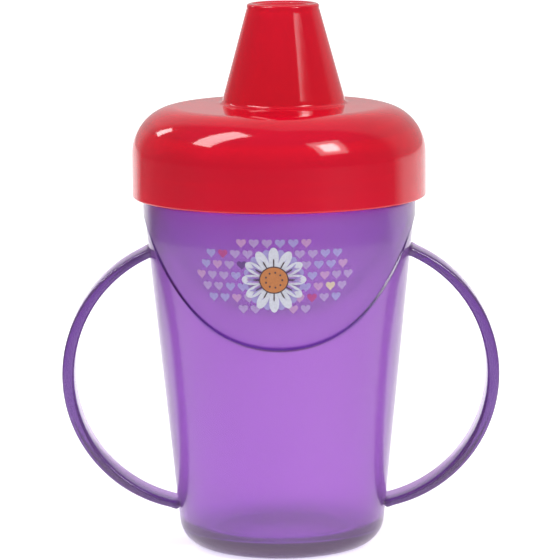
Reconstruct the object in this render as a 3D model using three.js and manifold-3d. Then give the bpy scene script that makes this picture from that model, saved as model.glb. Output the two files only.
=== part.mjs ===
// A child's sippy cup: a cup with two loop handles, a printed oval on its front panel, and a screw lid
// with a spout, a sealing ring and a soft non-spill valve.
//
// Millimetres. The origin is the middle of the foot, on the table. +Z is up, the handles lie along X,
// and the printed front faces -Y.

import * as THREE from 'three';
import { mergeVertices } from 'three/addons/utils/BufferGeometryUtils.js';
import Module from 'manifold-3d';

// ---------------------------------------------------------------------------------------------------
// Driving dimensions
// ---------------------------------------------------------------------------------------------------

const SIDES = 40; // facets round every large round piece
const SMALL_SIDES = 16; // facets round small round pieces
const CURVE_STEPS = 24; // facets along each curve of a drawn shape
const GAP = 0.3; // clearance between neighbouring pieces
const BITE = 0.3; // how far a joined feature reaches into what it stands on

// The cup's wall is a cone that widens upwards.
const WALL = 1.7; // thickness of the cup's and the lid's walls
const CONE_FOOT_RADIUS = 26.7; // outer radius that the cone would have at the table
const CONE_SLOPE = 0.1014; // growth of the radius per millimetre of height
const BASE_ROUND = 7.6; // radius of the round corner at the foot
const FOOT_FLAT = 1.4; // width of the flat ring that the cup stands on
const RECESS_RUN = 1.5; // width of the slope from that ring up into the recess under the floor
const FLOOR_TOP = 5.2; // height of the inner floor
const FLOOR_CORNER = 3.5; // round between floor and wall inside

// The front and back panels stand proud of the cone above a curved ledge.
const PANEL_STEP = 0.9; // how far a panel stands out of the cone
const LEDGE_LOW = 58.1; // height of the ledge at its lowest, on the middle of the panel
const LEDGE_BOW = 8.7; // distance from the middle at which its parabola has risen by 1 mm
const LEDGE_SWEEP = 18.4; // distance at which a fourth power has lifted it by 1 mm more
const COLLAR_LOW = 86; // the collar is the band that the lid sits above
const COLLAR_STEP = 0.8; // height in which the wall widens to the collar
const COLLAR_TOP = 93.8;
const COLLAR_RADIUS = 36.2;
const EDGE = 0.4; // bevel on the edges of rims, lid and collar

// The neck carries the outer screw thread.
const NECK_RADIUS = 35.2;
const NECK_TOP = 108.3;
const THREAD_LEAD = 4; // rise in one turn
const THREAD_TURNS = 1.25;
const NECK_THREAD_TOP = 105.3; // height of the middle of the thread where it starts
const NECK_THREAD_CREST = 36.4;
const THREAD_ROOT_WIDTH = 2.4; // height of the thread's ridge where it stands on the neck
const THREAD_CREST_WIDTH = 1;

// The handles are flat bands bent to a circle, thicker in the middle than at their ends.
const HANDLE_RADIUS = 36.5; // outer face
const HANDLE_X = 21.7; // centre of the outer circle from the cup's axis
const HANDLE_Z = 46.5;
const HANDLE_THICK = 3.2; // at the middle
const HANDLE_THIN = 1.56; // shift of the inner circle's centre, which thins the ends
const HANDLE_DEPTH = 12; // front to back
const HANDLE_REACH = 80; // degrees that the circle is followed, up and down from its middle
const HANDLE_ROUND = 0.7; // rounding of the band's long edges

// The printed oval lies on the front panel.
const PRINT_Z = 77.5;
const PRINT_X = -1.6;
const PRINT_HALF_WIDTH = 21.3;
const PRINT_HALF_HEIGHT = 10.6;
const PRINT_THICK = 0.3;
const PRINT_MARGIN = 2; // spare height of the film that the oval is cut from

// The lid is a shallow dome over a straight skirt.
const LID_RADIUS = 39;
const LID_BOTTOM = 94.2;
const LID_TOP = 118.1;
const LID_FLAT_RADIUS = 27; // where the flat top turns into the shoulder
const LID_SHOULDER = 12.7; // height of the shoulder
const LID_THREAD_CREST = 35.7;
const LID_THREAD_SLACK = 0.2; // how much narrower the lid's thread is than the neck's
const PLUG_RADIUS = 33; // outer radius of the rib that enters the neck
const PLUG_WALL = 1.6;
const PLUG_BOTTOM = 104.8;
const ROOF_CORNER = 1.6; // slope between the rib and the lid's roof
const SEAT_Z = 110.7; // face that the sealing ring bears on
const SEAT_DROP = 3.5; // height of the slope outside that face

// The spout stands off the lid's axis.
const LID_TURN = 11.5; // degrees that the closed lid is turned to the left of the cup's back
const SPOUT_OFFSET = 7; // from the lid's axis
const SPOUT_BASE_RADIUS = 16.9; // where it meets the lid's flat top
const SPOUT_TIP_RADIUS = 9.2;
const SPOUT_TOP = 144.6;
const SPOUT_SIDES = 32;
const SPOUT_LIP = 1.2; // rounding of the tip's edge
const SPOUT_DISH = 0.9; // depth of the hollow in the tip
const SPOUT_DISH_RADIUS = 6.2;
const SPOUT_TIP_CORNER = 0.6; // bevel inside the tip
const DRINK_HOLE_RADIUS = 1.1;
const DRINK_HOLE_SPACING = 4.2;
const VENT_OFFSET = -16.5; // air hole, on the far side of the lid's axis from the spout
const VENT_RADIUS = 0.7;
const HOLE_SIDES = 12;

// The valve is two soft cups on one strap, pressed on sockets under the spout and the air hole.
const SOCKET_BOTTOM = 109.8;
const SPOUT_SOCKET_RADIUS = 16.2;
const VENT_SOCKET_RADIUS = 3;
const VENT_BORE_RADIUS = 1.6;
const VALVE_WALL = 1.5;
const VALVE_BOTTOM = 107.4;
const VALVE_TOP = 115.6;
const VALVE_EDGE = 0.5;
const STRAP_WIDTH = 5;
const SLIT_LENGTH = 6;
const SLIT_WIDTH = 0.4;

// The sealing ring lies between the neck's rim and the lid.
const RING_OUTER = 35.4;

// ---------------------------------------------------------------------------------------------------
// Shape helpers
// ---------------------------------------------------------------------------------------------------

const wasm = await Module();
wasm.setup();

function solid(geometry) {
  geometry.deleteAttribute('normal');
  geometry.deleteAttribute('uv');
  const merged = mergeVertices(geometry, 1e-4);
  return new wasm.Manifold(
    new wasm.Mesh({
      numProp: 3,
      vertProperties: new Float32Array(merged.attributes.position.array),
      triVerts: new Uint32Array(merged.index.array),
    }),
  );
}

// Turns a profile of [radius, height] points about Z. The profile runs upwards on the outside.
function turned(profile, sides = SIDES) {
  const points = profile.map(([radius, height]) => new THREE.Vector2(radius, height));
  const geometry = new THREE.LatheGeometry(points, sides);
  geometry.rotateX(Math.PI / 2);
  return solid(geometry);
}

// A profile that closes on itself gives a ring.
function turnedRing(profile, sides = SIDES) {
  return turned([...profile, profile[0]], sides);
}

function cylinder(radius, low, high, sides = SMALL_SIDES) {
  return turned([[0, low], [radius, low], [radius, high], [0, high]], sides);
}

// Points on an elliptical arc in the profile plane, from one angle to another in degrees.
function arc(centreRadius, centreHeight, width, height, from, to, steps) {
  return Array.from({ length: steps + 1 }, (_, i) => {
    const angle = THREE.MathUtils.degToRad(from + ((to - from) * i) / steps);
    return [centreRadius + width * Math.cos(angle), centreHeight + height * Math.sin(angle)];
  });
}

// A helical ridge: a section of [radius, height] points wound down a right-hand helix from its top.
function helix(section, topHeight, turns) {
  const outline = new THREE.Shape(section.map(([radius, height]) => new THREE.Vector2(radius, height)));
  const steps = Math.round(SIDES * turns);
  const geometry = new THREE.ExtrudeGeometry(outline, { depth: 1, steps, bevelEnabled: false });
  const position = geometry.attributes.position;
  for (let i = 0; i < position.count; i += 1) {
    const turn = -turns * position.getZ(i);
    const radius = position.getX(i);
    const angle = 2 * Math.PI * turn;
    const height = topHeight + THREAD_LEAD * turn + position.getY(i);
    position.setXYZ(i, radius * Math.cos(angle), radius * Math.sin(angle), height);
  }
  return solid(geometry);
}

// A thread's section, from its root on the wall to its crest.
function threadSection(root, crest, slack = 0) {
  const rootHalf = (THREAD_ROOT_WIDTH - slack) / 2;
  const crestHalf = (THREAD_CREST_WIDTH - slack) / 2;
  return [[root, -rootHalf], [crest, -crestHalf], [crest, crestHalf], [root, rootHalf]];
}

// A shape drawn as [x, z] and extruded front to back about the plane y = 0.
function slab(shape, depth, bevel = 0) {
  const geometry = new THREE.ExtrudeGeometry(shape, {
    depth: depth - 2 * bevel,
    bevelEnabled: bevel > 0,
    bevelThickness: bevel,
    bevelSize: bevel,
    bevelOffset: -bevel,
    bevelSegments: 1,
    curveSegments: CURVE_STEPS,
  });
  geometry.translate(0, 0, -(depth - 2 * bevel) / 2);
  geometry.rotateX(Math.PI / 2);
  return solid(geometry);
}

function mesh(name, body, colour, roughness) {
  const result = body.getMesh();
  const geometry = new THREE.BufferGeometry();
  geometry.setAttribute('position', new THREE.BufferAttribute(result.vertProperties, 3));
  geometry.setIndex(new THREE.BufferAttribute(result.triVerts, 1));
  const material = new THREE.MeshStandardMaterial({ color: colour, roughness, metalness: 0 });
  const made = new THREE.Mesh(geometry, material);
  made.name = name;
  return made;
}

const coneRadius = (height) => CONE_FOOT_RADIUS + CONE_SLOPE * height;
const panelRadius = (height) => coneRadius(height) + PANEL_STEP;
const ledgeHeight = (x) => LEDGE_LOW + (x / LEDGE_BOW) ** 2 + (x / LEDGE_SWEEP) ** 4;

// ---------------------------------------------------------------------------------------------------
// Cup
// ---------------------------------------------------------------------------------------------------

// A round corner that runs from the foot's flat ring out to the cone.
function footCorner(steps = 6) {
  const tangent = THREE.MathUtils.radToDeg(Math.atan(CONE_SLOPE));
  const centre = coneRadius(BASE_ROUND) - BASE_ROUND * Math.hypot(1, CONE_SLOPE);
  return arc(centre, BASE_ROUND, BASE_ROUND, BASE_ROUND, -90, -tangent, steps);
}

// The region above the ledge, right through the cup from front to back.
function aboveLedge() {
  const reach = 1.1 * COLLAR_RADIUS;
  const region = new THREE.Shape();
  region.moveTo(reach, NECK_TOP);
  region.lineTo(-reach, NECK_TOP);
  for (let i = 0; i <= CURVE_STEPS; i += 1) {
    const x = reach * ((2 * i) / CURVE_STEPS - 1);
    region.lineTo(x, ledgeHeight(x));
  }
  region.closePath();
  return slab(region, 4 * reach);
}

function neckThread() {
  return helix(threadSection(NECK_RADIUS - BITE, NECK_THREAD_CREST), NECK_THREAD_TOP, THREAD_TURNS);
}

function cupShell() {
  const corner = footCorner();
  const footInner = corner[0][0] - FOOT_FLAT;
  const neckInside = NECK_RADIUS - WALL;
  const neckBend = (NECK_RADIUS - CONE_FOOT_RADIUS) / CONE_SLOPE;
  const cornerHeight = FLOOR_TOP + FLOOR_CORNER;
  const cornerCentre = coneRadius(cornerHeight) - WALL - FLOOR_CORNER;
  return turned([
    [0, FLOOR_TOP - WALL],
    [footInner - RECESS_RUN, FLOOR_TOP - WALL],
    [footInner, 0],
    ...corner,
    [coneRadius(COLLAR_LOW), COLLAR_LOW],
    [COLLAR_RADIUS, COLLAR_LOW + COLLAR_STEP],
    [COLLAR_RADIUS, COLLAR_TOP - EDGE],
    [COLLAR_RADIUS - EDGE, COLLAR_TOP],
    [NECK_RADIUS, COLLAR_TOP],
    [NECK_RADIUS, NECK_TOP - EDGE],
    [NECK_RADIUS - EDGE, NECK_TOP],
    [neckInside + EDGE, NECK_TOP],
    [neckInside, NECK_TOP - EDGE],
    [neckInside, neckBend],
    ...arc(cornerCentre, cornerHeight, FLOOR_CORNER, FLOOR_CORNER, 0, -90, 3),
    [0, FLOOR_TOP],
  ]);
}

// The front and back panels, as one skin on the cone that runs up into the collar.
function panels() {
  const low = LEDGE_LOW - BITE;
  const high = COLLAR_LOW + COLLAR_STEP;
  const skin = turnedRing([
    [coneRadius(low) - BITE, low],
    [panelRadius(low), low],
    [panelRadius(COLLAR_LOW), COLLAR_LOW],
    [COLLAR_RADIUS, high],
    [coneRadius(high) - BITE, high],
  ]);
  return skin.intersect(aboveLedge());
}

function cupBody() {
  return cupShell().add(panels()).add(neckThread());
}

// A band along a circle, running in behind the cup's wall, which then cuts it off.
function handle(side) {
  const innerRadius = HANDLE_RADIUS - HANDLE_THICK + HANDLE_THIN;
  const from = THREE.MathUtils.degToRad(-HANDLE_REACH);
  const to = THREE.MathUtils.degToRad(HANDLE_REACH);
  const band = new THREE.Shape();
  band.absarc(HANDLE_X, HANDLE_Z, HANDLE_RADIUS, from, to, false);
  band.absarc(HANDLE_X - HANDLE_THIN, HANDLE_Z, innerRadius, to, from, true);
  band.closePath();
  const body = slab(band, HANDLE_DEPTH, HANDLE_ROUND);
  const cupSpace = turned([
    [0, 0],
    ...footCorner().map(([radius, height]) => [radius + GAP, height]),
    [coneRadius(COLLAR_LOW) + GAP, COLLAR_LOW],
    [0, COLLAR_LOW],
  ]);
  const cut = body.subtract(cupSpace);
  return side > 0 ? cut : cut.mirror([1, 0, 0]);
}

// A thin oval film on the front panel.
function printedPanel() {
  const low = PRINT_Z - PRINT_HALF_HEIGHT - PRINT_MARGIN;
  const high = PRINT_Z + PRINT_HALF_HEIGHT + PRINT_MARGIN;
  const outside = (height) => Math.min(panelRadius(height), COLLAR_RADIUS) + GAP / 2;
  const film = turnedRing([
    [outside(low), low],
    [outside(low) + PRINT_THICK, low],
    [outside(COLLAR_LOW) + PRINT_THICK, COLLAR_LOW],
    [outside(high) + PRINT_THICK, high],
    [outside(high), high],
    [outside(COLLAR_LOW), COLLAR_LOW],
  ]);
  const oval = new THREE.Shape();
  oval.absellipse(PRINT_X, PRINT_Z, PRINT_HALF_WIDTH, PRINT_HALF_HEIGHT, 0, 2 * Math.PI, false, 0);
  const front = slab(oval, 2 * COLLAR_RADIUS).translate([0, -COLLAR_RADIUS, 0]);
  return film.intersect(front);
}

// ---------------------------------------------------------------------------------------------------
// Lid, sealing ring and valve
// ---------------------------------------------------------------------------------------------------

// Everything that goes with the spout is placed on the line from the lid's axis to the spout.
function onSpoutLine(body, offset) {
  return body.translate([0, offset, 0]).rotate([0, 0, -LID_TURN]);
}

function lidShell() {
  const inner = LID_RADIUS - WALL;
  const plugInner = PLUG_RADIUS - PLUG_WALL;
  const roof = LID_TOP - WALL;
  return turned([
    [0, roof],
    [LID_FLAT_RADIUS, roof],
    [plugInner, roof - ROOF_CORNER],
    [plugInner, PLUG_BOTTOM + EDGE],
    [plugInner + EDGE, PLUG_BOTTOM],
    [PLUG_RADIUS - EDGE, PLUG_BOTTOM],
    [PLUG_RADIUS, PLUG_BOTTOM + EDGE],
    [PLUG_RADIUS, SEAT_Z],
    [RING_OUTER + GAP, SEAT_Z],
    [inner, SEAT_Z - SEAT_DROP],
    [inner, LID_BOTTOM],
    [LID_RADIUS - EDGE, LID_BOTTOM],
    [LID_RADIUS, LID_BOTTOM + EDGE],
    ...arc(LID_FLAT_RADIUS, LID_TOP - LID_SHOULDER, LID_RADIUS - LID_FLAT_RADIUS, LID_SHOULDER, 0, 90, 8),
    [0, LID_TOP],
  ]);
}

function lidThread() {
  const section = threadSection(LID_RADIUS - WALL + BITE, LID_THREAD_CREST, LID_THREAD_SLACK);
  return helix(section.reverse(), NECK_THREAD_TOP - THREAD_LEAD / 2, THREAD_TURNS);
}

// The screw cap: dome, skirt and thread, the rib that enters the neck, and the air hole on its socket.
function lid() {
  const spoutSpace = cylinder(SPOUT_SOCKET_RADIUS + GAP, SOCKET_BOTTOM, LID_TOP + 1, SPOUT_SIDES);
  const ventSocket = cylinder(VENT_SOCKET_RADIUS, SOCKET_BOTTOM, LID_TOP - WALL + BITE);
  const ventBore = cylinder(VENT_BORE_RADIUS, SOCKET_BOTTOM - 1, LID_TOP - 1);
  const ventHole = cylinder(VENT_RADIUS, SOCKET_BOTTOM, LID_TOP + 1, HOLE_SIDES);
  return lidShell()
    .add(onSpoutLine(ventSocket, VENT_OFFSET))
    .subtract(onSpoutLine(ventBore.add(ventHole), VENT_OFFSET))
    .subtract(onSpoutLine(spoutSpace, SPOUT_OFFSET))
    .add(lidThread());
}

// One wall from the dished tip down to the socket that the valve is pressed on.
function spoutShell() {
  const foot = LID_TOP + GAP;
  const bore = SPOUT_SOCKET_RADIUS - WALL;
  const tipInside = SPOUT_TIP_RADIUS - WALL;
  const tipUnderside = SPOUT_TOP - SPOUT_DISH - WALL;
  return turned([
    [0, tipUnderside],
    [tipInside - SPOUT_TIP_CORNER, tipUnderside],
    [tipInside, tipUnderside - SPOUT_TIP_CORNER],
    [bore, LID_TOP],
    [bore, SOCKET_BOTTOM],
    [SPOUT_SOCKET_RADIUS, SOCKET_BOTTOM],
    [SPOUT_SOCKET_RADIUS, foot],
    [SPOUT_BASE_RADIUS, foot],
    ...arc(SPOUT_TIP_RADIUS - SPOUT_LIP, SPOUT_TOP - SPOUT_LIP, SPOUT_LIP, SPOUT_LIP, 15, 90, 3),
    [SPOUT_DISH_RADIUS, SPOUT_TOP - SPOUT_DISH],
    [0, SPOUT_TOP - SPOUT_DISH],
  ], SPOUT_SIDES);
}

function drinkHoles() {
  const hole = cylinder(DRINK_HOLE_RADIUS, SPOUT_TOP - 2 * WALL - SPOUT_DISH, SPOUT_TOP, HOLE_SIDES);
  return [-1, 0, 1]
    .map((place) => hole.translate([place * DRINK_HOLE_SPACING, 0, 0]))
    .reduce((all, one) => all.add(one));
}

function spout() {
  return onSpoutLine(spoutShell().subtract(drinkHoles()), SPOUT_OFFSET);
}

function sealingRing() {
  const low = NECK_TOP + GAP;
  const high = SEAT_Z - GAP;
  const inner = PLUG_RADIUS + GAP;
  return turnedRing([[inner, low], [RING_OUTER, low], [RING_OUTER, high], [inner, high]]);
}

// A soft cup that is pressed over a socket. Its floor has a slit that liquid or air opens.
function valveCup(socketRadius, sides) {
  const inner = socketRadius + GAP;
  const floor = SOCKET_BOTTOM - GAP;
  const cup = turned([
    [0, VALVE_BOTTOM],
    [inner + VALVE_WALL - VALVE_EDGE, VALVE_BOTTOM],
    [inner + VALVE_WALL, VALVE_BOTTOM + VALVE_EDGE],
    [inner + VALVE_WALL, VALVE_TOP],
    [inner, VALVE_TOP],
    [inner, floor],
    [0, floor],
  ], sides);
  const length = Math.min(SLIT_LENGTH, 1.2 * socketRadius);
  const slit = solid(new THREE.BoxGeometry(length, SLIT_WIDTH, 4 * VALVE_WALL)).translate([0, 0, floor]);
  return cup.subtract(slit);
}

function valve() {
  const spoutSpace = cylinder(SPOUT_SOCKET_RADIUS + GAP, VALVE_BOTTOM - 1, VALVE_TOP, SPOUT_SIDES);
  const ventSpace = cylinder(VENT_SOCKET_RADIUS + GAP, VALVE_BOTTOM - 1, VALVE_TOP);
  const thick = SOCKET_BOTTOM - GAP - VALVE_BOTTOM;
  const strap = solid(new THREE.BoxGeometry(STRAP_WIDTH, SPOUT_OFFSET - VENT_OFFSET, thick))
    .translate([0, (SPOUT_OFFSET + VENT_OFFSET) / 2, VALVE_BOTTOM + thick / 2])
    .subtract(spoutSpace.translate([0, SPOUT_OFFSET, 0]))
    .subtract(ventSpace.translate([0, VENT_OFFSET, 0]));
  return onSpoutLine(strap, 0)
    .add(onSpoutLine(valveCup(SPOUT_SOCKET_RADIUS, SPOUT_SIDES), SPOUT_OFFSET))
    .add(onSpoutLine(valveCup(VENT_SOCKET_RADIUS, SMALL_SIDES), VENT_OFFSET));
}

// ---------------------------------------------------------------------------------------------------
// Assembly
// ---------------------------------------------------------------------------------------------------

const PURPLE = 0x8a4fb8;
const RED = 0xd2143c;
const SILICONE = 0xe9e6ea;
const PRINT = 0xd9c8ee;

const cup = new THREE.Group();
cup.add(
  mesh('cup_body', cupBody(), PURPLE, 0.3),
  mesh('left_handle', handle(-1), PURPLE, 0.3),
  mesh('right_handle', handle(1), PURPLE, 0.3),
  mesh('printed_panel', printedPanel(), PRINT, 0.45),
);

const closure = new THREE.Group();
closure.add(
  mesh('lid', lid(), RED, 0.2),
  mesh('spout', spout(), RED, 0.2),
  mesh('sealing_ring', sealingRing(), SILICONE, 0.55),
  mesh('valve', valve(), SILICONE, 0.5),
);

const sippyCup = new THREE.Group();
sippyCup.add(cup, closure);

export default sippyCup;
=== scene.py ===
import math

import bmesh
import bpy
import numpy as np
from mathutils import Matrix, Vector


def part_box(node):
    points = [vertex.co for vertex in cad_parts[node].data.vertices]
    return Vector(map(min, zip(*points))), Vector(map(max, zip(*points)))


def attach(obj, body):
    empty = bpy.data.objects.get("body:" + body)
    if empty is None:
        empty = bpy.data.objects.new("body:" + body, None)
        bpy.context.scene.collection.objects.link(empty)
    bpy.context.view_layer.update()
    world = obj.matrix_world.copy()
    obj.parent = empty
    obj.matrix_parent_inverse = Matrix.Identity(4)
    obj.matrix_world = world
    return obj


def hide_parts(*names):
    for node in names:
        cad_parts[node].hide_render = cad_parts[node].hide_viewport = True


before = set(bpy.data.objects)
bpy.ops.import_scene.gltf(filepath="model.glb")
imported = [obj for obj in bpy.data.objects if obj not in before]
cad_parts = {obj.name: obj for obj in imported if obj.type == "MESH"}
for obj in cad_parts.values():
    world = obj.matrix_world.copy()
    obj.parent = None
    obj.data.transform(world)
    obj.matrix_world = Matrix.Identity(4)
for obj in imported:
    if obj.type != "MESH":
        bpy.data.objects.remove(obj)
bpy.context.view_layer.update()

# A sippy cup in translucent plastic. Shapes are worked out in millimetres in the part's own frame
# (+Z up, handles along X, printed front towards -Y) and become metres when a mesh is made.
MM = 0.001


def box_mm(node):
    """Lowest and highest corner of a CAD node, in millimetres."""
    low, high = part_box(node)
    return [value / MM for value in low], [value / MM for value in high]


# ---------------------------------------------------------------------------------------------------
# Driving dimensions, in millimetres
# ---------------------------------------------------------------------------------------------------

LID_LOW, LID_HIGH = box_mm("lid")
SPOUT_HIGH = box_mm("spout")[1]
CUP_HIGH = box_mm("cup_body")[1]
HANDLE_HIGH = box_mm("right_handle")[1]
RING_LOW, RING_HIGH = box_mm("sealing_ring")
PRINT_LOW, PRINT_HIGH = box_mm("printed_panel")
VALVE_LOW, VALVE_HIGH = box_mm("valve")

COLUMNS = 240  # columns round every large round piece
WALL = 1.7

# Cup
CONE_FOOT_RADIUS = 26.7
CONE_SLOPE = 0.1014
BASE_ROUND = 7.6
FLOOR_TOP = 5.2
FLOOR_CORNER = 3.5
PANEL_STEP = 0.9
LEDGE_LOW = 58.1
LEDGE_BOW = 8.7  # distance from the middle at which its parabola has risen by 1 mm
LEDGE_SWEEP = 18.4  # distance at which a fourth power has lifted it by 1 mm more
LEDGE_BAND = 0.85  # half the height of the ledge with its bead
LEDGE_BEAD = 0.45  # how far the bead along the ledge stands out
LEDGE_SHADE_HALF = 0.5  # half the height of the painted shade line along it
COLLAR_TOP = 93.8
COLLAR_RADIUS = 36.2
NECK_RADIUS = 35.2
NECK_TOP = CUP_HIGH[2]
THREAD_LEAD = 4.0
THREAD_TURNS = 1.25
NECK_THREAD_TOP = 105.3
NECK_THREAD_HEIGHT = CUP_HIGH[0] - NECK_RADIUS

# Handles
HANDLE_RADIUS = 36.5
HANDLE_X = HANDLE_HIGH[0] - HANDLE_RADIUS
HANDLE_Z = 46.5
HANDLE_THICK = 3.2
HANDLE_THIN = 1.56
HANDLE_HALF_DEPTH = HANDLE_HIGH[1]

# Lid
LID_RADIUS = LID_HIGH[1]
LID_BOTTOM = LID_LOW[2]
LID_TOP = 118.1
LID_FLAT_RADIUS = 27.0
LID_SHOULDER = 12.7
PLUG_RADIUS = 33.0
PLUG_WALL = 1.6
PLUG_BOTTOM = 104.8
SEAT_Z = RING_HIGH[2] + 0.3
LID_THREAD_HEIGHT = 1.6
LID_TURN = 11.5
SPOUT_OFFSET = 7.0
SPOUT_BASE_RADIUS = 16.6
SPOUT_TIP_RADIUS = 9.3
SPOUT_TOP = SPOUT_HIGH[2]
SPOUT_LIP = 0.8
SPOUT_DISH = 0.9
SPOUT_FILLET = 0.9
DRINK_HOLE_RADIUS = 1.1
DRINK_HOLE_SPACING = 4.2
VENT_OFFSET = -16.5
VENT_RADIUS = 0.7
SOCKET_BOTTOM = 109.8
SPOUT_SOCKET_RADIUS = 16.2
VENT_SOCKET_RADIUS = 3.0
VENT_BORE_RADIUS = 1.6

# Valve
VALVE_WALL = 1.5
VALVE_FLOOR = 109.5
VALVE_GAP = 0.3

# Print
PRINT_X = (PRINT_LOW[0] + PRINT_HIGH[0]) / 2
PRINT_Z = (PRINT_LOW[2] + PRINT_HIGH[2]) / 2
PRINT_HALF_WIDTH = 21.6
PRINT_HALF_HEIGHT = (PRINT_HIGH[2] - PRINT_LOW[2]) / 2
INK_THICK = 0.04
INKS = [
    ("ink_lilac", (0.4, 0.27, 0.56)),
    ("ink_bluish", (0.34, 0.28, 0.6)),
    ("ink_rosy", (0.48, 0.26, 0.52)),
    ("ink_magenta", (0.42, 0.05, 0.24)),
    ("ink_violet", (0.12, 0.04, 0.22)),
    ("ink_cream", (0.62, 0.5, 0.4)),
    ("ink_white", (0.62, 0.63, 0.72)),
    ("ink_tan", (0.52, 0.18, 0.05)),
    ("ink_brown", (0.07, 0.035, 0.05)),
]


# ---------------------------------------------------------------------------------------------------
# Mesh helpers
# ---------------------------------------------------------------------------------------------------


def loft(name, rings, closed=False):
    """A mesh through rings of equal point counts. A ring of one point is a pole."""
    verts = []
    starts = []
    for ring in rings:
        starts.append(len(verts))
        verts.extend(tuple(point * MM for point in corner) for corner in ring)
    faces = []
    pairs = list(range(len(rings) - 1)) + ([len(rings) - 1] if closed else [])
    for index in pairs:
        after = (index + 1) % len(rings)
        count_a, count_b = len(rings[index]), len(rings[after])
        count = max(count_a, count_b)
        for i in range(count):
            j = (i + 1) % count
            a, b = starts[index], starts[after]
            if count_a == 1:
                faces.append((a, b + i, b + j))
            elif count_b == 1:
                faces.append((a + j, a + i, b))
            else:
                faces.append((a + j, a + i, b + i, b + j))
    mesh = bpy.data.meshes.new(name)
    mesh.from_pydata(verts, [], faces)
    mesh.update()
    return mesh


def add_object(name, mesh):
    obj = bpy.data.objects.new(name, mesh)
    bpy.context.scene.collection.objects.link(obj)
    return obj


def face_outwards(mesh):
    """Turns a closed mesh's faces outwards, judged by its signed volume."""

    work = bmesh.new()
    work.from_mesh(mesh)
    bmesh.ops.recalc_face_normals(work, faces=work.faces)
    if work.calc_volume(signed=True) < 0:
        bmesh.ops.reverse_faces(work, faces=work.faces)
    work.to_mesh(mesh)
    work.free()


def smooth(mesh, sharp_degrees=38):
    """Smooth shading, with edges steeper than the angle kept sharp."""
    mesh.polygons.foreach_set("use_smooth", [True] * len(mesh.polygons))
    mesh.set_sharp_from_angle(angle=math.radians(sharp_degrees))
    mesh.update()


def combine(base, others, operation):
    """Joins or cuts the base object by the others, one after another, and removes them."""
    for other in others:
        modifier = base.modifiers.new(operation.lower(), "BOOLEAN")
        modifier.operation = operation
        modifier.solver = "EXACT"
        modifier.object = other
        bpy.context.view_layer.update()
        result = bpy.data.meshes.new_from_object(base.evaluated_get(bpy.context.evaluated_depsgraph_get()))
        base.modifiers.clear()
        old = base.data
        base.data = result
        bpy.data.meshes.remove(old)
        bpy.data.objects.remove(other)


def circle(radius, height, centre=(0.0, 0.0), columns=COLUMNS):
    """One ring of points at a height about a centre."""
    angles = np.arange(columns) * 2 * math.pi / columns
    return np.column_stack([
        centre[0] + radius * np.cos(angles),
        centre[1] + radius * np.sin(angles),
        np.broadcast_to(height, columns),
    ])


def pole(height, centre=(0.0, 0.0)):
    return np.array([[centre[0], centre[1], height]])


def arc_points(centre_radius, centre_height, width, height, start, stop, steps):
    """Radius and height pairs along an elliptical arc, angles in degrees."""
    angles = np.radians(np.linspace(start, stop, steps + 1))
    return [(centre_radius + width * math.cos(a), centre_height + height * math.sin(a)) for a in angles]


def smoothstep(value):
    value = np.clip(value, 0.0, 1.0)
    return value * value * (3 - 2 * value)


def thread_height(heights, angles, top, crest, half_root, half_crest, turns=THREAD_TURNS):
    """How far a right-hand thread stands out of a wall at each height and angle round it."""
    stands = np.zeros(np.broadcast(heights, angles).shape)
    for lap in range(math.ceil(turns) + 1):
        turn = np.mod(-angles, 2 * math.pi) / (2 * math.pi) + lap
        middle = top - THREAD_LEAD * turn
        ramp = (half_root - np.abs(heights - middle)) / (half_root - half_crest)
        ends = smoothstep(turn / 0.05) * smoothstep((turns - turn) / 0.05)
        stands = np.maximum(stands, crest * smoothstep(ramp) * ends)
    return stands


# ---------------------------------------------------------------------------------------------------
# Cup with its handles
# ---------------------------------------------------------------------------------------------------


def cone_radius(height):
    return CONE_FOOT_RADIUS + CONE_SLOPE * height


def panel_radius(height):
    return np.minimum(cone_radius(height) + PANEL_STEP, COLLAR_RADIUS)


def ledge_curve(across):
    """The ledge's height at a distance to the side of the middle, seen from the front."""
    return LEDGE_LOW + (across / LEDGE_BOW) ** 2 + (across / LEDGE_SWEEP) ** 4


def ledge_heights(angles):
    """The ledge's height round the cup, where its curve meets the panel's surface."""
    heights = np.full(angles.shape, LEDGE_LOW)
    for _ in range(12):
        across = panel_radius(heights) * np.cos(angles)
        heights = 0.5 * heights + 0.5 * ledge_curve(across)
    return heights


def ring_at(radii, heights):
    """A ring whose radius and height change round it."""
    angles = np.arange(COLUMNS) * 2 * math.pi / COLUMNS
    heights = np.broadcast_to(heights, COLUMNS)
    return np.column_stack([radii * np.cos(angles), radii * np.sin(angles), heights])


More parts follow.
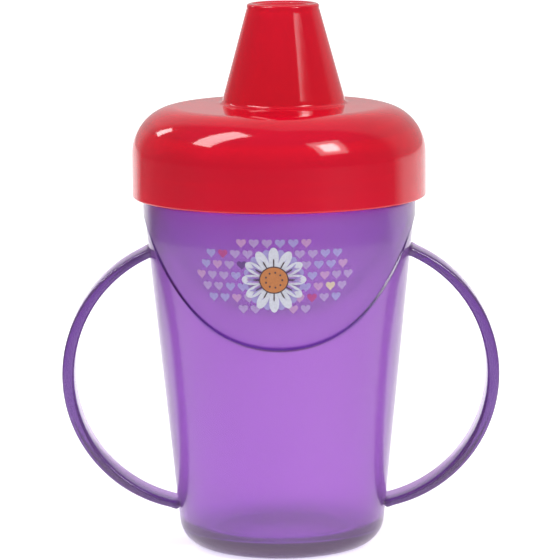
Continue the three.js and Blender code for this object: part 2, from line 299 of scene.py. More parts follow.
def cup_shell():
    angles = np.arange(COLUMNS) * 2 * math.pi / COLUMNS
    tangent = math.degrees(math.atan(CONE_SLOPE))
    corner_centre = cone_radius(BASE_ROUND) - BASE_ROUND * math.hypot(1, CONE_SLOPE)
    corner = arc_points(corner_centre, BASE_ROUND, BASE_ROUND, BASE_ROUND, -90, -tangent, 22)
    foot_inner = corner_centre - 1.4
    underside = FLOOR_TOP - WALL

    rings = [pole(underside - 1.1)]
    # The gate's mark and the recess under the floor
    for radius, height in [
        (1.9, underside - 1.1), (2.2, underside - 0.9), (2.35, underside - 0.1),
        (2.7, underside + 0.1), (3.2, underside),
        (foot_inner - 5, underside), (foot_inner - 2.2, underside - 0.1),
        *arc_points(foot_inner - 2.2, underside - 1.3, 1.2, 1.2, 80, 15, 5),
        (foot_inner - 0.35, 0.5), (foot_inner - 0.15, 0.12), (foot_inner + 0.15, 0.0),
    ]:
        rings.append(circle(radius, height))
    for radius, height in corner:
        rings.append(circle(radius, height))

    # The wall: plain cone, ledge, panel
    ledge = ledge_heights(angles)
    foot_height = corner[-1][1]
    for share in np.linspace(0, 1, 45)[1:]:
        heights = foot_height + share * (ledge - LEDGE_BAND - foot_height)
        rings.append(ring_at(cone_radius(heights), heights))
    for share in np.linspace(-1, 1, 17)[1:]:
        heights = ledge + share * LEDGE_BAND
        bead = LEDGE_BEAD * math.sin(math.pi * (share + 1) / 2) ** 2
        stand = PANEL_STEP * smoothstep((share + 1) / 1.1) + bead
        rings.append(ring_at(np.minimum(cone_radius(heights) + stand, COLLAR_RADIUS), heights))
    top = COLLAR_TOP - 0.7
    for share in np.linspace(0, 1, 24)[1:]:
        heights = (ledge + LEDGE_BAND) + share * (top - ledge - LEDGE_BAND)
        rings.append(ring_at(panel_radius(heights), heights))

    # The collar's round top edge, the neck with its thread, and the rim
    for radius, height in arc_points(COLLAR_RADIUS - 0.7, COLLAR_TOP - 0.7, 0.7, 0.7, 15, 90, 5):
        rings.append(circle(radius, height))
    for radius, height in arc_points(NECK_RADIUS + 0.3, COLLAR_TOP + 0.3, 0.3, 0.3, -90, -180, 3):
        rings.append(circle(radius, height))
    rim = 0.55
    for height in np.linspace(COLLAR_TOP + 0.5, NECK_TOP - rim, 48):
        stand = thread_height(height, angles, NECK_THREAD_TOP, NECK_THREAD_HEIGHT, 1.2, 0.5)
        rings.append(ring_at(NECK_RADIUS + stand, height))
    neck_inside = NECK_RADIUS - WALL
    for radius, height in arc_points(NECK_RADIUS - rim, NECK_TOP - rim, rim, rim, 15, 90, 5):
        rings.append(circle(radius, height))
    for radius, height in arc_points(neck_inside + rim, NECK_TOP - rim, rim, rim, 90, 180, 6):
        rings.append(circle(radius, height))

    # Inside: neck, cone, round corner and floor
    bend = (neck_inside + WALL - CONE_FOOT_RADIUS) / CONE_SLOPE
    for height in np.linspace(NECK_TOP - 2, bend + 1.5, 10):
        rings.append(circle(neck_inside, height))
    corner_height = FLOOR_TOP + FLOOR_CORNER
    for height in np.linspace(bend - 1.5, corner_height, 40):
        rings.append(circle(cone_radius(height) - WALL, height))
    inside_centre = cone_radius(corner_height) - WALL - FLOOR_CORNER
    inside_corner = arc_points(inside_centre, corner_height, FLOOR_CORNER, FLOOR_CORNER, 0, -90, 12)
    for radius, height in inside_corner[1:]:
        rings.append(circle(radius, height))
    for radius in (inside_centre - 3, 12, 6, 2):
        rings.append(circle(radius, FLOOR_TOP))
    rings.append(pole(FLOOR_TOP))
    return loft("cup", rings)


def mark_ledge_shade(mesh):
    """Gives every corner a value that is one along the ledge, the mask of a painted shade line where the
    plastic looks darkest.
    """
    corners = np.empty(3 * len(mesh.vertices))
    mesh.vertices.foreach_get("co", corners)
    x, y, z = corners.reshape(-1, 3).T / MM
    off_ledge = np.abs(z - ledge_curve(x))
    outside = np.hypot(x, y) > cone_radius(z) - 0.3 * WALL
    share = np.clip(1.6 - off_ledge / LEDGE_SHADE_HALF, 0, 1) * outside * (z < COLLAR_TOP)
    # The ledge value masks a painted shade line along the ledge's step.
    mesh.attributes.new("ledge", "FLOAT", "POINT").data.foreach_set("value", share)


def rounded_section(half_thick, half_depth, corner, points_per_corner=6):
    """A rounded rectangle as (thickness, depth) pairs."""
    outline = []
    for index, (side_t, side_d) in enumerate([(1, 1), (-1, 1), (-1, -1), (1, -1)]):
        for step in range(points_per_corner + 1):
            angle = math.radians(90 * index + 90 * step / points_per_corner)
            outline.append((
                side_t * (half_thick - corner) + corner * math.cos(angle),
                side_d * (half_depth - corner) + corner * math.sin(angle),
            ))
    return outline


def handle_mesh(side):
    """A band bent to a circle, thinner towards its ends, which flare where they meet the wall."""
    inner_radius = HANDLE_RADIUS - HANDLE_THICK + HANDLE_THIN
    root_depth = 0.9  # how far an end runs into the wall
    steps = 180
    rings = []
    for step in range(steps + 1):
        angle = math.radians(-80 + 160 * step / steps)
        outer = np.array([
            HANDLE_X + HANDLE_RADIUS * math.cos(angle),
            HANDLE_Z + HANDLE_RADIUS * math.sin(angle),
        ])
        inner = np.array([
            HANDLE_X - HANDLE_THIN + inner_radius * math.cos(angle),
            HANDLE_Z + inner_radius * math.sin(angle),
        ])
        middle = (outer + inner) / 2
        clear = middle[0] - cone_radius(middle[1])
        if clear < -root_depth:
            continue
        across = outer - middle
        half_thick = float(np.linalg.norm(across))
        normal = across / half_thick
        flare = 0.25 * max(0.0, 1 - max(clear, 0.0) / 1.5) ** 2
        ring = []
        for thick, depth in rounded_section(half_thick + flare * 0.7, HANDLE_HALF_DEPTH + flare, 1.0):
            place = middle + normal * thick
            ring.append((side * place[0], depth, place[1]))
        rings.append(np.array(ring))
    ends = [rings[0].mean(axis=0, keepdims=True), rings[-1].mean(axis=0, keepdims=True)]
    return loft("handle", [ends[0], *rings, ends[1]])


def make_cup():
    shell = cup_shell()
    face_outwards(shell)
    cup = add_object("cup", shell)
    handles = []
    for side in (-1, 1):
        mesh = handle_mesh(side)
        face_outwards(mesh)
        handles.append(add_object("handle", mesh))
    combine(cup, handles, "UNION")
    smooth(cup.data)
    return cup


# ---------------------------------------------------------------------------------------------------
# Lid
# ---------------------------------------------------------------------------------------------------


def on_spout_line(offset):
    """A point on the line from the lid's axis towards the spout."""
    turn = math.radians(LID_TURN)
    return offset * math.sin(turn), offset * math.cos(turn)


def between(ring_a, ring_b, shares):
    """Rings part of the way from one ring to another."""
    return [ring_a + (ring_b - ring_a) * share for share in shares]


def lid_shell():
    angles = np.arange(COLUMNS) * 2 * math.pi / COLUMNS
    spout = on_spout_line(SPOUT_OFFSET)
    slope = (SPOUT_BASE_RADIUS - SPOUT_TIP_RADIUS) / (SPOUT_TOP - LID_TOP)
    lean = math.degrees(math.atan(slope))
    rings = [pole(SPOUT_TOP - SPOUT_DISH, spout)]

    def about_spout(points):
        for radius, height in points:
            rings.append(circle(radius, height, spout))

    def about_axis(points):
        for radius, height in points:
            rings.append(circle(radius, height))

    # The spout's dished tip, its lip, its cone, and the small fillet at its foot
    lip_radius = SPOUT_TIP_RADIUS - SPOUT_LIP + slope * SPOUT_LIP
    about_spout([(2.5, SPOUT_TOP - SPOUT_DISH), (5.5, SPOUT_TOP - SPOUT_DISH)])
    about_spout(arc_points(lip_radius - 2.6, SPOUT_TOP - SPOUT_DISH + 1.0, 1.0, 1.0, -90, -35, 4))
    about_spout(arc_points(lip_radius, SPOUT_TOP - SPOUT_LIP, SPOUT_LIP * 1.2, SPOUT_LIP, 145, lean, 10))
    cone_top = SPOUT_TOP - 1.2
    cone_foot = LID_TOP + SPOUT_FILLET * 1.2
    heights = np.linspace(cone_top, cone_foot, 30)
    about_spout([(SPOUT_BASE_RADIUS - slope * (h - LID_TOP), h) for h in heights])
    foot_radius = SPOUT_BASE_RADIUS - slope * (cone_foot - LID_TOP)
    for share in np.linspace(0, 1, 8)[1:]:
        bend = math.radians(90 * share)
        about_spout([(
            foot_radius + (SPOUT_FILLET + 0.35) * (1 - math.cos(bend)),
            cone_foot - (cone_foot - LID_TOP) * math.sin(bend),
        )])

    # The flat top changes from rings about the spout to rings about the lid's axis
    flat_edge = circle(LID_FLAT_RADIUS, LID_TOP)
    rings.extend(between(rings[-1], flat_edge, np.linspace(0, 1, 10)[1:]))
    shoulder_width = LID_RADIUS - LID_FLAT_RADIUS
    about_axis(arc_points(
        LID_FLAT_RADIUS, LID_TOP - LID_SHOULDER, shoulder_width, LID_SHOULDER, 90, 0, 32,
    )[1:])

    # The straight skirt and its lower edge
    about_axis([(LID_RADIUS, h) for h in np.linspace(LID_TOP - LID_SHOULDER, LID_BOTTOM + 0.7, 8)[1:]])
    about_axis(arc_points(LID_RADIUS - 0.5, LID_BOTTOM + 0.5, 0.5, 0.5, 0, -90, 5))
    inner = LID_RADIUS - WALL
    about_axis(arc_points(inner + 0.3, LID_BOTTOM + 0.3, 0.3, 0.3, -90, -180, 3))

    # Inside: threaded wall, seat for the sealing ring, and the rib that enters the neck
    for height in np.linspace(LID_BOTTOM + 0.6, SEAT_Z - 3.6, 42):
        stand = thread_height(height, angles, NECK_THREAD_TOP - THREAD_LEAD / 2, LID_THREAD_HEIGHT, 1.1, 0.45)
        rings.append(ring_at(inner - stand, height))
    seat_outer = RING_HIGH[0] + 0.3
    about_axis([(inner, SEAT_Z - 3.4), (inner - 0.2, SEAT_Z - 2.9), (seat_outer + 0.2, SEAT_Z - 0.2)])
    about_axis([(seat_outer, SEAT_Z), (PLUG_RADIUS + 0.2, SEAT_Z), (PLUG_RADIUS, SEAT_Z - 0.2)])
    about_axis([(PLUG_RADIUS, h) for h in np.linspace(SEAT_Z - 1, PLUG_BOTTOM + 0.8, 5)])
    about_axis(arc_points(PLUG_RADIUS - 0.6, PLUG_BOTTOM + 0.6, 0.6, 0.6, 0, -90, 4))
    plug_inner = PLUG_RADIUS - PLUG_WALL
    about_axis(arc_points(plug_inner + 0.6, PLUG_BOTTOM + 0.6, 0.6, 0.6, -90, -180, 4))
    roof = LID_TOP - WALL
    about_axis([(plug_inner, h) for h in np.linspace(PLUG_BOTTOM + 1, roof - 3, 6)])
    about_axis(arc_points(plug_inner - 2.2, roof - 2.2, 2.2, 2.2, 0, 90, 6))

    # The roof's underside, and the socket under the spout
    socket_wide = circle(SPOUT_SOCKET_RADIUS + 0.4, roof, spout)
    rings.extend(between(rings[-1], socket_wide, np.linspace(0, 1, 8)[1:]))
    about_spout([(SPOUT_SOCKET_RADIUS, h) for h in np.linspace(roof - 0.4, SOCKET_BOTTOM + 0.4, 5)])
    bore = SPOUT_SOCKET_RADIUS - WALL
    about_spout([(SPOUT_SOCKET_RADIUS - 0.4, SOCKET_BOTTOM), (bore + 0.4, SOCKET_BOTTOM)])
    about_spout([(bore, h) for h in np.linspace(SOCKET_BOTTOM + 0.4, LID_TOP, 6)])
    tip_underside = SPOUT_TOP - SPOUT_DISH - WALL
    tip_bore = SPOUT_TIP_RADIUS - WALL
    for share in np.linspace(0, 1, 26)[1:]:
        about_spout([(bore + (tip_bore - bore) * share, LID_TOP + (tip_underside - 0.6 - LID_TOP) * share)])
    about_spout([(tip_bore - 0.25, tip_underside - 0.2), (tip_bore - 0.6, tip_underside), (3, tip_underside)])
    rings.append(pole(tip_underside, spout))
    return loft("lid", rings)


def rod(radius, low, high, centre, columns=32):
    mesh = loft("rod", [
        pole(low, centre), circle(radius, low, centre, columns),
        circle(radius, high, centre, columns), pole(high, centre),
    ])
    face_outwards(mesh)
    return add_object("rod", mesh)


def make_lid():
    shell = lid_shell()
    face_outwards(shell)
    lid = add_object("lid", shell)
    vent = on_spout_line(VENT_OFFSET)
    spout = on_spout_line(SPOUT_OFFSET)
    turn = math.radians(LID_TURN)
    across = (math.cos(turn), -math.sin(turn))
    socket = rod(VENT_SOCKET_RADIUS, SOCKET_BOTTOM, LID_TOP - WALL + 0.5, vent)
    cutters = [
        rod(VENT_BORE_RADIUS, SOCKET_BOTTOM - 1, LID_TOP - 1, vent),
        rod(VENT_RADIUS, SOCKET_BOTTOM, LID_TOP + 1, vent, 20),
    ]
    for place in (-1, 0, 1):
        shift = place * DRINK_HOLE_SPACING
        centre = (spout[0] + across[0] * shift, spout[1] + across[1] * shift)
        cutters.append(rod(DRINK_HOLE_RADIUS, SPOUT_TOP - 6, SPOUT_TOP + 1, centre, 28))
    combine(lid, [socket], "UNION")
    combine(lid, cutters, "DIFFERENCE")
    smooth(lid.data)
    return lid


# ---------------------------------------------------------------------------------------------------
# Sealing ring and valve
# ---------------------------------------------------------------------------------------------------


def make_sealing_ring():
    low, high = RING_LOW[2], RING_HIGH[2]
    outer = RING_HIGH[0]
    inner = PLUG_RADIUS + 0.3
    round_edge = 0.45
    corners = [
        (outer, low, 0, -90), (inner, low, -90, -180), (inner, high, 180, 90), (outer, high, 90, 0),
    ]
    rings = []
    for radius, height, start, stop in corners:
        inward = round_edge if radius == inner else -round_edge
        upward = round_edge if height == low else -round_edge
        for point in arc_points(radius + inward, height + upward, round_edge, round_edge, start, stop, 5):
            rings.append(circle(*point))
    mesh = loft("sealing_ring", rings, closed=True)
    face_outwards(mesh)
    smooth(mesh)
    return add_object("sealing_ring_soft", mesh)


def valve_cup(socket_radius, centre, columns):
    """A soft cup with a raised round-edged floor that its slit crosses."""
    inner = socket_radius + VALVE_GAP
    outer = inner + VALVE_WALL
    low, high = VALVE_LOW[2], VALVE_HIGH[2]
    dome = min(0.8, socket_radius * 0.1)
    profile = [
        (outer * 0.35, low + dome), (outer * 0.5, low + dome * 0.8),
        (outer * 0.62, low + 0.1), (outer * 0.7, low),
        *arc_points(outer - 0.6, low + 0.6, 0.6, 0.6, -90, 0, 5),
        (outer, high - 1.6), (outer, high - 0.5),
        *arc_points(inner + VALVE_WALL / 2, high - VALVE_WALL / 2, VALVE_WALL / 2, VALVE_WALL / 2, 10, 170, 8),
        (inner, VALVE_FLOOR + 0.5), (inner - 0.15, VALVE_FLOOR + 0.12), (inner - 0.5, VALVE_FLOOR),
        (outer * 0.62, VALVE_FLOOR), (outer * 0.35, VALVE_FLOOR - 0.2),
    ]
    rings = [pole(low + dome, centre)]
    rings += [circle(radius, height, centre, columns) for radius, height in profile]
    rings.append(pole(VALVE_FLOOR - 0.3, centre))
    mesh = loft("valve_cup", rings)
    face_outwards(mesh)
    return add_object("valve_cup", mesh)


def turned_block(half_x, half_y, low, high, centre):
    """A block turned to lie along the line from the lid's axis to the spout."""
    turn = math.radians(LID_TURN)
    rings = []
    for height in (low, high):
        corners = []
        for x, y in [(-half_x, -half_y), (half_x, -half_y), (half_x, half_y), (-half_x, half_y)]:
            corners.append((
                centre[0] + x * math.cos(turn) + y * math.sin(turn),
                centre[1] - x * math.sin(turn) + y * math.cos(turn),
                height,
            ))
        rings.append(np.array(corners))
    mesh = loft("block", [rings[0].mean(axis=0, keepdims=True), *rings, rings[1].mean(axis=0, keepdims=True)])
    face_outwards(mesh)
    return add_object("block", mesh)


def make_valve():
    spout = on_spout_line(SPOUT_OFFSET)
    vent = on_spout_line(VENT_OFFSET)
    valve = valve_cup(SPOUT_SOCKET_RADIUS, spout, 128)
    valve.name = "valve_soft"
    small = valve_cup(VENT_SOCKET_RADIUS, vent, 64)
    reach_from = SPOUT_OFFSET - SPOUT_SOCKET_RADIUS - VALVE_GAP - VALVE_WALL / 2
    reach_to = VENT_OFFSET + VENT_SOCKET_RADIUS + VALVE_GAP + VALVE_WALL / 2
    half_length = (reach_from - reach_to) / 2
    centre = on_spout_line((reach_from + reach_to) / 2)
    strap = turned_block(2.5, half_length, VALVE_LOW[2] + 0.3, VALVE_FLOOR - 0.1, centre)
    slits = [
        turned_block(3.0, 0.12, VALVE_LOW[2] - 1, VALVE_FLOOR + 1, spout),
        turned_block(0.12, 3.0, VALVE_LOW[2] - 1, VALVE_FLOOR + 1, spout),
        turned_block(1.5, 0.1, VALVE_LOW[2] - 1, VALVE_FLOOR + 1, vent),
    ]
    combine(valve, [strap, small], "UNION")
    combine(valve, slits, "DIFFERENCE")
    smooth(valve.data)
    return valve


# ---------------------------------------------------------------------------------------------------
# Print: rows of small hearts round a daisy, as thin ink on the front panel
# ---------------------------------------------------------------------------------------------------


def on_panel(across, height, lift):
    """A point of the front panel's surface, from its distance round the panel and its height."""
    radius = float(panel_radius(height))
    angle = across / COLLAR_RADIUS
    radius += lift
    return radius * math.sin(angle), -radius * math.cos(angle), height


def heart(size):
    """A heart's outline, size across, as offsets."""
    points = []
    for step in range(28):
        t = 2 * math.pi * step / 28
        x = 16 * math.sin(t) ** 3
        z = 13 * math.cos(t) - 5 * math.cos(2 * t) - 2 * math.cos(3 * t) - math.cos(4 * t)
        points.append((x * size / 32, (z + 2) * size / 32))
    return points


def petal(length, width, inner, angle):
    """A round-ended petal that points away from the daisy's middle."""
    points = []
    for step in range(26):
        t = 2 * math.pi * step / 26
        along = inner + length / 2 * (1 - math.cos(t))
        swell = 0.72 + 0.28 * (1 - math.cos(t)) / 2
        side = width / 2 * math.sin(t) * swell
        points.append((
            along * math.cos(angle) - side * math.sin(angle),
            along * math.sin(angle) + side * math.cos(angle),
        ))
    return points


def disc(radius_x, radius_z, count=40):
    return [
        (radius_x * math.cos(2 * math.pi * i / count), radius_z * math.sin(2 * math.pi * i / count))
        for i in range(count)
    ]


class Ink:
    """Collects flat shapes of ink, each a thin closed island on the panel."""

    def __init__(self):
        self.verts = []
        self.faces = []
        self.slots = []

    def add(self, outline, centre, slot, lift=0.0):
        count = len(outline)
        start = len(self.verts)
        for level in (lift + 0.004, lift + INK_THICK):
            for x, z in outline:
                self.verts.append(on_panel(centre[0] + x, centre[1] + z, level))
        middles = []
        for level in (lift + 0.004, lift + INK_THICK):
            middles.append(len(self.verts))
            self.verts.append(on_panel(centre[0], centre[1], level))
        for i in range(count):
            j = (i + 1) % count
            self.faces.append((start + i, start + j, start + count + j, start + count + i))
            self.faces.append((middles[0], start + j, start + i))
            self.faces.append((middles[1], start + count + i, start + count + j))
            self.slots.extend([slot] * 3)


LILAC, BLUISH, ROSY, MAGENTA, VIOLET, CREAM, WHITE, TAN, BROWN = range(9)

HEART_SIZE = 2.7
HEART_PITCH_X = 3.4
HEART_PITCH_Z = 2.9
FLOWER_CENTRE = (PRINT_X, PRINT_Z - 0.8)
FLOWER_REACH = 8.6

# Hearts in a stronger colour: place from the oval's middle
ODD_HEARTS = [((-13.2, 6.2), MAGENTA), ((10.7, -5.2), MAGENTA), ((-9.3, 3.4), VIOLET), ((14.0, -2.1), CREAM)]


def heart_colour(row, column, offset):
    """Mostly three pale tints in turn, with a stronger colour at the odd hearts."""
    for place, colour in ODD_HEARTS:
        if abs(offset[0] - place[0]) < HEART_PITCH_X / 2 and abs(offset[1] - place[1]) < HEART_PITCH_Z / 2:
            return colour
    return (LILAC, BLUISH, LILAC, ROSY, BLUISH)[(3 * row + 2 * column) % 5]


def add_hearts(ink):
    for row in range(-4, 5):
        for column in range(-7, 8):
            offset = ((column + 0.5 * (row % 2)) * HEART_PITCH_X, row * HEART_PITCH_Z)
            reach = math.hypot(offset[0] / (PRINT_HALF_WIDTH - 0.9), offset[1] / (PRINT_HALF_HEIGHT - 0.2))
            centre = (PRINT_X + offset[0], PRINT_Z + offset[1])
            from_flower = math.hypot(centre[0] - FLOWER_CENTRE[0], centre[1] - FLOWER_CENTRE[1])
            if reach < 1 and from_flower > FLOWER_REACH - 0.4:
                ink.add(heart(HEART_SIZE), centre, heart_colour(row, column, offset))


def add_daisy(ink):
    """Two rings of petals with fine dark veins, and a tan middle with seeds."""
    petals = 12
    for index in range(petals):
        angle = 2 * math.pi * (index + 0.5) / petals
        ink.add(petal(FLOWER_REACH - 2.8, 3.3, 2.4, angle), FLOWER_CENTRE, BLUISH, 0.05)
    for index in range(petals):
        angle = 2 * math.pi * index / petals
        ink.add(petal(FLOWER_REACH - 2.4, 3.1, 2.4, angle), FLOWER_CENTRE, WHITE, 0.1)
        ink.add(petal(1.7, 0.4, 3.9, angle), FLOWER_CENTRE, BROWN, 0.15)
    ink.add(disc(3.9, 3.6), FLOWER_CENTRE, BROWN, 0.15)
    ink.add(disc(3.6, 3.3), FLOWER_CENTRE, TAN, 0.2)
    for index in range(9):
        turn = 2 * math.pi * index / 9
        seed = (FLOWER_CENTRE[0] + 2.2 * math.cos(turn), FLOWER_CENTRE[1] + 2.0 * math.sin(turn))
        ink.add(disc(0.26, 0.26, 10), seed, BROWN, 0.25)


def make_print():
    ink = Ink()
    add_hearts(ink)
    add_daisy(ink)
    mesh = bpy.data.meshes.new("print")
    mesh.from_pydata([tuple(value * MM for value in corner) for corner in ink.verts], [], ink.faces)
    mesh.update()
    for name, colour in INKS:
        darker = tuple(0.85 * value for value in colour)
        mesh.materials.append(ink_material(name, colour, darker))
    mesh.polygons.foreach_set("material_index", ink.slots)
    face_outwards(mesh)
    return add_object("print_ink", mesh)


# ---------------------------------------------------------------------------------------------------
# Materials
# ---------------------------------------------------------------------------------------------------

LEDGE_SHADE_COLOUR = (0.13, 0.02, 0.34)  # painted shade: the colour of the dark line along the ledge
PLASTIC_IOR = 1.49
SILICONE_IOR = 1.41


def new_material(name):
    material = bpy.data.materials.new(name)
    material.use_nodes = True
    tree = material.node_tree
    tree.nodes.clear()
    output = tree.nodes.new("ShaderNodeOutputMaterial")
    shader = tree.nodes.new("ShaderNodeBsdfPrincipled")
    tree.links.new(shader.outputs["BSDF"], output.inputs["Surface"])
    return material, tree, shader, output


def noise(tree, scale, detail, roughness=0.5, stretch=(1.0, 1.0, 1.0)):
    """A noise pattern in object coordinates, stretched along the axes."""
    place = tree.nodes.new("ShaderNodeTexCoord")
    mapping = tree.nodes.new("ShaderNodeMapping")
    mapping.inputs["Scale"].default_value = stretch
    tree.links.new(place.outputs["Object"], mapping.inputs["Vector"])
    pattern = tree.nodes.new("ShaderNodeTexNoise")
    pattern.inputs["Scale"].default_value = scale
    pattern.inputs["Detail"].default_value = detail
    pattern.inputs["Roughness"].default_value = roughness
    tree.links.new(mapping.outputs["Vector"], pattern.inputs["Vector"])
    return pattern.outputs["Fac"]


def remap(tree, value, low_in, high_in, low_out, high_out):
    node = tree.nodes.new("ShaderNodeMapRange")
    node.inputs["From Min"].default_value = low_in
    node.inputs["From Max"].default_value = high_in
    node.inputs["To Min"].default_value = low_out
    node.inputs["To Max"].default_value = high_out
    tree.links.new(value, node.inputs["Value"])
    return node.outputs["Result"]


def mix_colours(tree, factor, first, second):
    node = tree.nodes.new("ShaderNodeMix")
    node.data_type = "RGBA"
    node.inputs["A"].default_value = (*first, 1)
    node.inputs["B"].default_value = (*second, 1)
    tree.links.new(factor, node.inputs["Factor"])
    return node.outputs["Result"]


def add_bump(tree, shader, height, distance, strength):
    bump = tree.nodes.new("ShaderNodeBump")
    bump.inputs["Distance"].default_value = distance
    bump.inputs["Strength"].default_value = strength
    tree.links.new(height, bump.inputs["Height"])
    tree.links.new(bump.outputs["Normal"], shader.inputs["Normal"])


def let_light_through(tree, shader, output, tint):
    """Lamps shine through the plastic, tinted, as they do through a thin moulded wall."""
    path = tree.nodes.new("ShaderNodeLightPath")
    clear = tree.nodes.new("ShaderNodeBsdfTransparent")
    clear.inputs["Color"].default_value = (*tint, 1)
    mix = tree.nodes.new("ShaderNodeMixShader")
    tree.links.new(path.outputs["Is Shadow Ray"], mix.inputs["Fac"])
    tree.links.new(shader.outputs["BSDF"], mix.inputs[1])
    tree.links.new(clear.outputs["BSDF"], mix.inputs[2])
    tree.links.new(mix.outputs["Shader"], output.inputs["Surface"])


def paint_ledge_shade(tree, colour):
    """The colour with a painted shade line over it along the ledge. A mesh without a ledge value keeps its
    colour.
    """
    ledge = tree.nodes.new("ShaderNodeAttribute")
    ledge.attribute_name = "ledge"
    line = mix_colours(tree, ledge.outputs["Fac"], (0, 0, 0), LEDGE_SHADE_COLOUR)
    tree.links.new(colour, line.node.inputs["A"])
    return line


def translucent_plastic(name, light, deep, shadow_tint, transmission, roughness, absorb):
    """Moulded translucent plastic: slightly milky, glossy, with faint flow marks and wear, and a painted shade
    line wherever the mesh has a ledge value.
    """
    material, tree, shader, output = new_material(name)
    flow = noise(tree, 34, 3, 0.55, (1, 1, 0.35))
    colour = mix_colours(tree, remap(tree, flow, 0.3, 0.7, 0, 1), deep, light)
    # Painted shade: the ledge's dark line over the plastic's colour.
    tree.links.new(paint_ledge_shade(tree, colour), shader.inputs["Base Color"])
    wear = noise(tree, 900, 4, 0.65, (1, 1, 0.2))
    worn = remap(tree, wear, 0.35, 0.8, roughness * 0.8, roughness * 1.35)
    tree.links.new(worn, shader.inputs["Roughness"])
    shader.inputs["Transmission Weight"].default_value = transmission
    shader.inputs["IOR"].default_value = PLASTIC_IOR
    ripple = noise(tree, 60, 2, 0.4)
    add_bump(tree, shader, ripple, 0.0004, 0.12)
    let_light_through(tree, shader, output, shadow_tint)
    if absorb:
        volume = tree.nodes.new("ShaderNodeVolumeAbsorption")
        volume.inputs["Color"].default_value = (*absorb[0], 1)
        volume.inputs["Density"].default_value = absorb[1]
        tree.links.new(volume.outputs["Volume"], output.inputs["Volume"])
    return material


def silicone(name):
    material, tree, shader, _ = new_material(name)
    cloud = noise(tree, 120, 3)
    tree.links.new(
        mix_colours(tree, remap(tree, cloud, 0.3, 0.7, 0, 1), (0.78, 0.77, 0.8), (0.88, 0.87, 0.9)),
        shader.inputs["Base Color"],
    )
    tree.links.new(remap(tree, cloud, 0.3, 0.7, 0.42, 0.55), shader.inputs["Roughness"])
    shader.inputs["Subsurface Weight"].default_value = 0.25
    shader.inputs["Subsurface Radius"].default_value = (0.002, 0.002, 0.002)
    shader.inputs["IOR"].default_value = SILICONE_IOR
    add_bump(tree, shader, noise(tree, 2500, 2), 0.00005, 0.2)
    return material


def ink_material(name, colour, darker):
    material, tree, shader, _ = new_material(name)
    grain = noise(tree, 1800, 3, 0.6)
    tinted = mix_colours(tree, remap(tree, grain, 0.35, 0.65, 0, 1), darker, colour)
    tree.links.new(tinted, shader.inputs["Base Color"])
    tree.links.new(remap(tree, grain, 0.3, 0.7, 0.3, 0.42), shader.inputs["Roughness"])
    add_bump(tree, shader, grain, 0.00002, 0.3)
    return material


def paper_floor():
    """Paper floor with painted light: white and glowing near the cup and behind it, fading to a painted pale
    grey shade in the rest of the room.
    """
    material, tree, shader, _ = new_material("floor_paper")
    place = tree.nodes.new("ShaderNodeTexCoord")
    behind = azimuth_share(tree, place.outputs["Object"])
    length = tree.nodes.new("ShaderNodeVectorMath")
    length.operation = "LENGTH"
    tree.links.new(place.outputs["Object"], length.inputs[0])
    near = remap(tree, length.outputs["Value"], 0.25, 0.45, 1, 0)
    white = tree.nodes.new("ShaderNodeMath")
    white.operation = "MAXIMUM"
    tree.links.new(behind, white.inputs[0])
    tree.links.new(near, white.inputs[1])
    # Painted light and shade: paper white where the floor is lit, painted grey in the dim rest of the room.
    colour = mix_colours(tree, white.outputs["Value"], (0.22, 0.22, 0.22), (0.7, 0.7, 0.7))
    tree.links.new(colour, shader.inputs["Base Color"])
    shader.inputs["Roughness"].default_value = 0.6
    shader.inputs["Emission Color"].default_value = (1, 1, 1, 1)
    glow = remap(tree, white.outputs["Value"], 0, 1, 0, FLOOR_GLOW)
    tree.links.new(glow, shader.inputs["Emission Strength"])
    return material


# ---------------------------------------------------------------------------------------------------
# Stage: floor, light and camera
# ---------------------------------------------------------------------------------------------------

ROOM_LIGHT = 0.25  # brightness of the room on the camera's side
WALL_LIGHT = 0.6  # brightness of the room's white side
WHITE_TURN = math.radians(18)  # the middle of the white side, from +Y towards +X
WHITE_HALF = math.radians(57)  # half the angle that the white side spans
FLOOR_GLOW = 0.7  # light that the white paper gives off
FLOOR_HALF = 6.0

LIGHT_TARGET = (0, 0, 0.11)  # the lid, which every softbox faces

CAMERA_DISTANCE = 1.05
CAMERA_HEIGHT = 0.232
CAMERA_AIM = 0.0713  # height of the point on the cup's axis that the camera looks at
CAMERA_LENS = 256.3
CAMERA_SENSOR = 36
CAMERA_ROLL = math.radians(-0.5)


def make_floor():
    size = FLOOR_HALF
    mesh = bpy.data.meshes.new("floor")
    corners = [(-size, -size, 0), (size, -size, 0), (size, size, 0), (-size, size, 0)]
    mesh.from_pydata(corners, [], [(0, 1, 2, 3)])
    floor = add_object("floor", mesh)
    mesh.materials.append(paper_floor())


def softbox(name, direction, width, height, power, distance=3.6):
    """A rectangular soft light that faces the lid from a direction."""
    target = Vector(LIGHT_TARGET)
    lamp = bpy.data.lights.new(name, "AREA")
    lamp.shape = "RECTANGLE"
    lamp.size = width
    lamp.size_y = height
    lamp.energy = power
    holder = bpy.data.objects.new(name, lamp)
    bpy.context.scene.collection.objects.link(holder)
    holder.location = target + Vector(direction).normalized() * distance
    holder.rotation_euler = (target - holder.location).to_track_quat("-Z", "Y").to_euler()


def azimuth_share(tree, vector):
    """1 for horizontal directions towards the white side of the room, 0 for the others."""
    flat = tree.nodes.new("ShaderNodeVectorMath")
    flat.operation = "MULTIPLY"
    flat.inputs[1].default_value = (1, 1, 0)
    unit = tree.nodes.new("ShaderNodeVectorMath")
    unit.operation = "NORMALIZE"
    towards = tree.nodes.new("ShaderNodeVectorMath")
    towards.operation = "DOT_PRODUCT"
    towards.inputs[1].default_value = (math.sin(WHITE_TURN), math.cos(WHITE_TURN), 0)
    tree.links.new(vector, flat.inputs[0])
    tree.links.new(flat.outputs["Vector"], unit.inputs[0])
    tree.links.new(unit.outputs["Vector"], towards.inputs[0])
    edge = math.cos(WHITE_HALF)
    return remap(tree, towards.outputs["Value"], edge - 0.1, edge + 0.1, 0, 1)


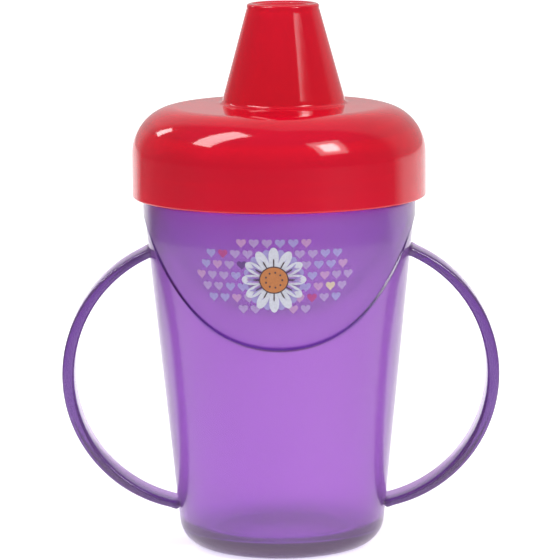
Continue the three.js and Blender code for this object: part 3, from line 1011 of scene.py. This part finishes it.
def make_world():
    """White surroundings behind the cup and a dim room on the camera's side."""
    world = bpy.data.worlds.new("studio")
    bpy.context.scene.world = world
    world.use_nodes = True
    tree = world.node_tree
    place = tree.nodes.new("ShaderNodeTexCoord")
    strength = remap(tree, azimuth_share(tree, place.outputs["Generated"]), 0, 1, ROOM_LIGHT, WALL_LIGHT)
    tree.links.new(strength, tree.nodes["Background"].inputs["Strength"])
    tree.nodes["Background"].inputs["Color"].default_value = (1, 1, 1, 1)


def make_lights():
    make_world()
    softbox("left_softbox", (-0.565, -0.16, 0.81), 1.05, 2.4, 75)
    softbox("right_softbox", (0.57, -0.54, 0.617), 1.5, 1.9, 32)
    softbox("right_core", (0.57, -0.54, 0.617), 0.8, 1.0, 36, 3.5)
    softbox("edge_softbox", (-0.666, 0.555, 0.4985), 0.45, 0.8, 8)


def make_camera():
    camera = bpy.data.cameras.new("camera")
    camera.sensor_width = CAMERA_SENSOR
    camera.lens = CAMERA_LENS
    holder = bpy.data.objects.new("camera", camera)
    bpy.context.scene.collection.objects.link(holder)
    holder.location = (0, -CAMERA_DISTANCE, CAMERA_HEIGHT)
    sight = Vector((0, CAMERA_DISTANCE, CAMERA_AIM - CAMERA_HEIGHT))
    look = sight.to_track_quat("-Z", "Y").to_matrix()
    roll = Matrix.Rotation(CAMERA_ROLL, 3, "Z")
    holder.rotation_euler = (look @ roll).to_euler()
    bpy.context.scene.camera = holder
    bpy.context.scene.view_settings.view_transform = "Standard"


# ---------------------------------------------------------------------------------------------------
# Assembly
# ---------------------------------------------------------------------------------------------------

make_camera()
make_lights()
make_floor()

purple = translucent_plastic(
    "cup_plastic", (0.79, 0.46, 0.9), (0.75, 0.42, 0.87), (0.62, 0.36, 0.79), 0.88, 0.18,
    ((0.6, 0.4, 0.75), 480),
)
red = translucent_plastic(
    "lid_plastic", (0.79, 0.003, 0.036), (0.72, 0.002, 0.028), (0.85, 0.12, 0.16), 0.4, 0.08, None,
)

cup = make_cup()
# The ledge value marks where a painted shade line darkens the cup.
mark_ledge_shade(cup.data)
cup.data.materials.append(purple)
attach(cup, "cup")
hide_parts("cup_body", "left_handle", "right_handle")

printed = make_print()
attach(printed, "cup")
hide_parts("printed_panel")

lid = make_lid()
lid.data.materials.append(red)
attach(lid, "lid")
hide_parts("lid", "spout")

ring = make_sealing_ring()
ring.data.materials.append(silicone("ring_silicone"))
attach(ring, "ring")
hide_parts("sealing_ring")

valve = make_valve()
valve.data.materials.append(silicone("valve_silicone"))
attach(valve, "valve")
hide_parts("valve")
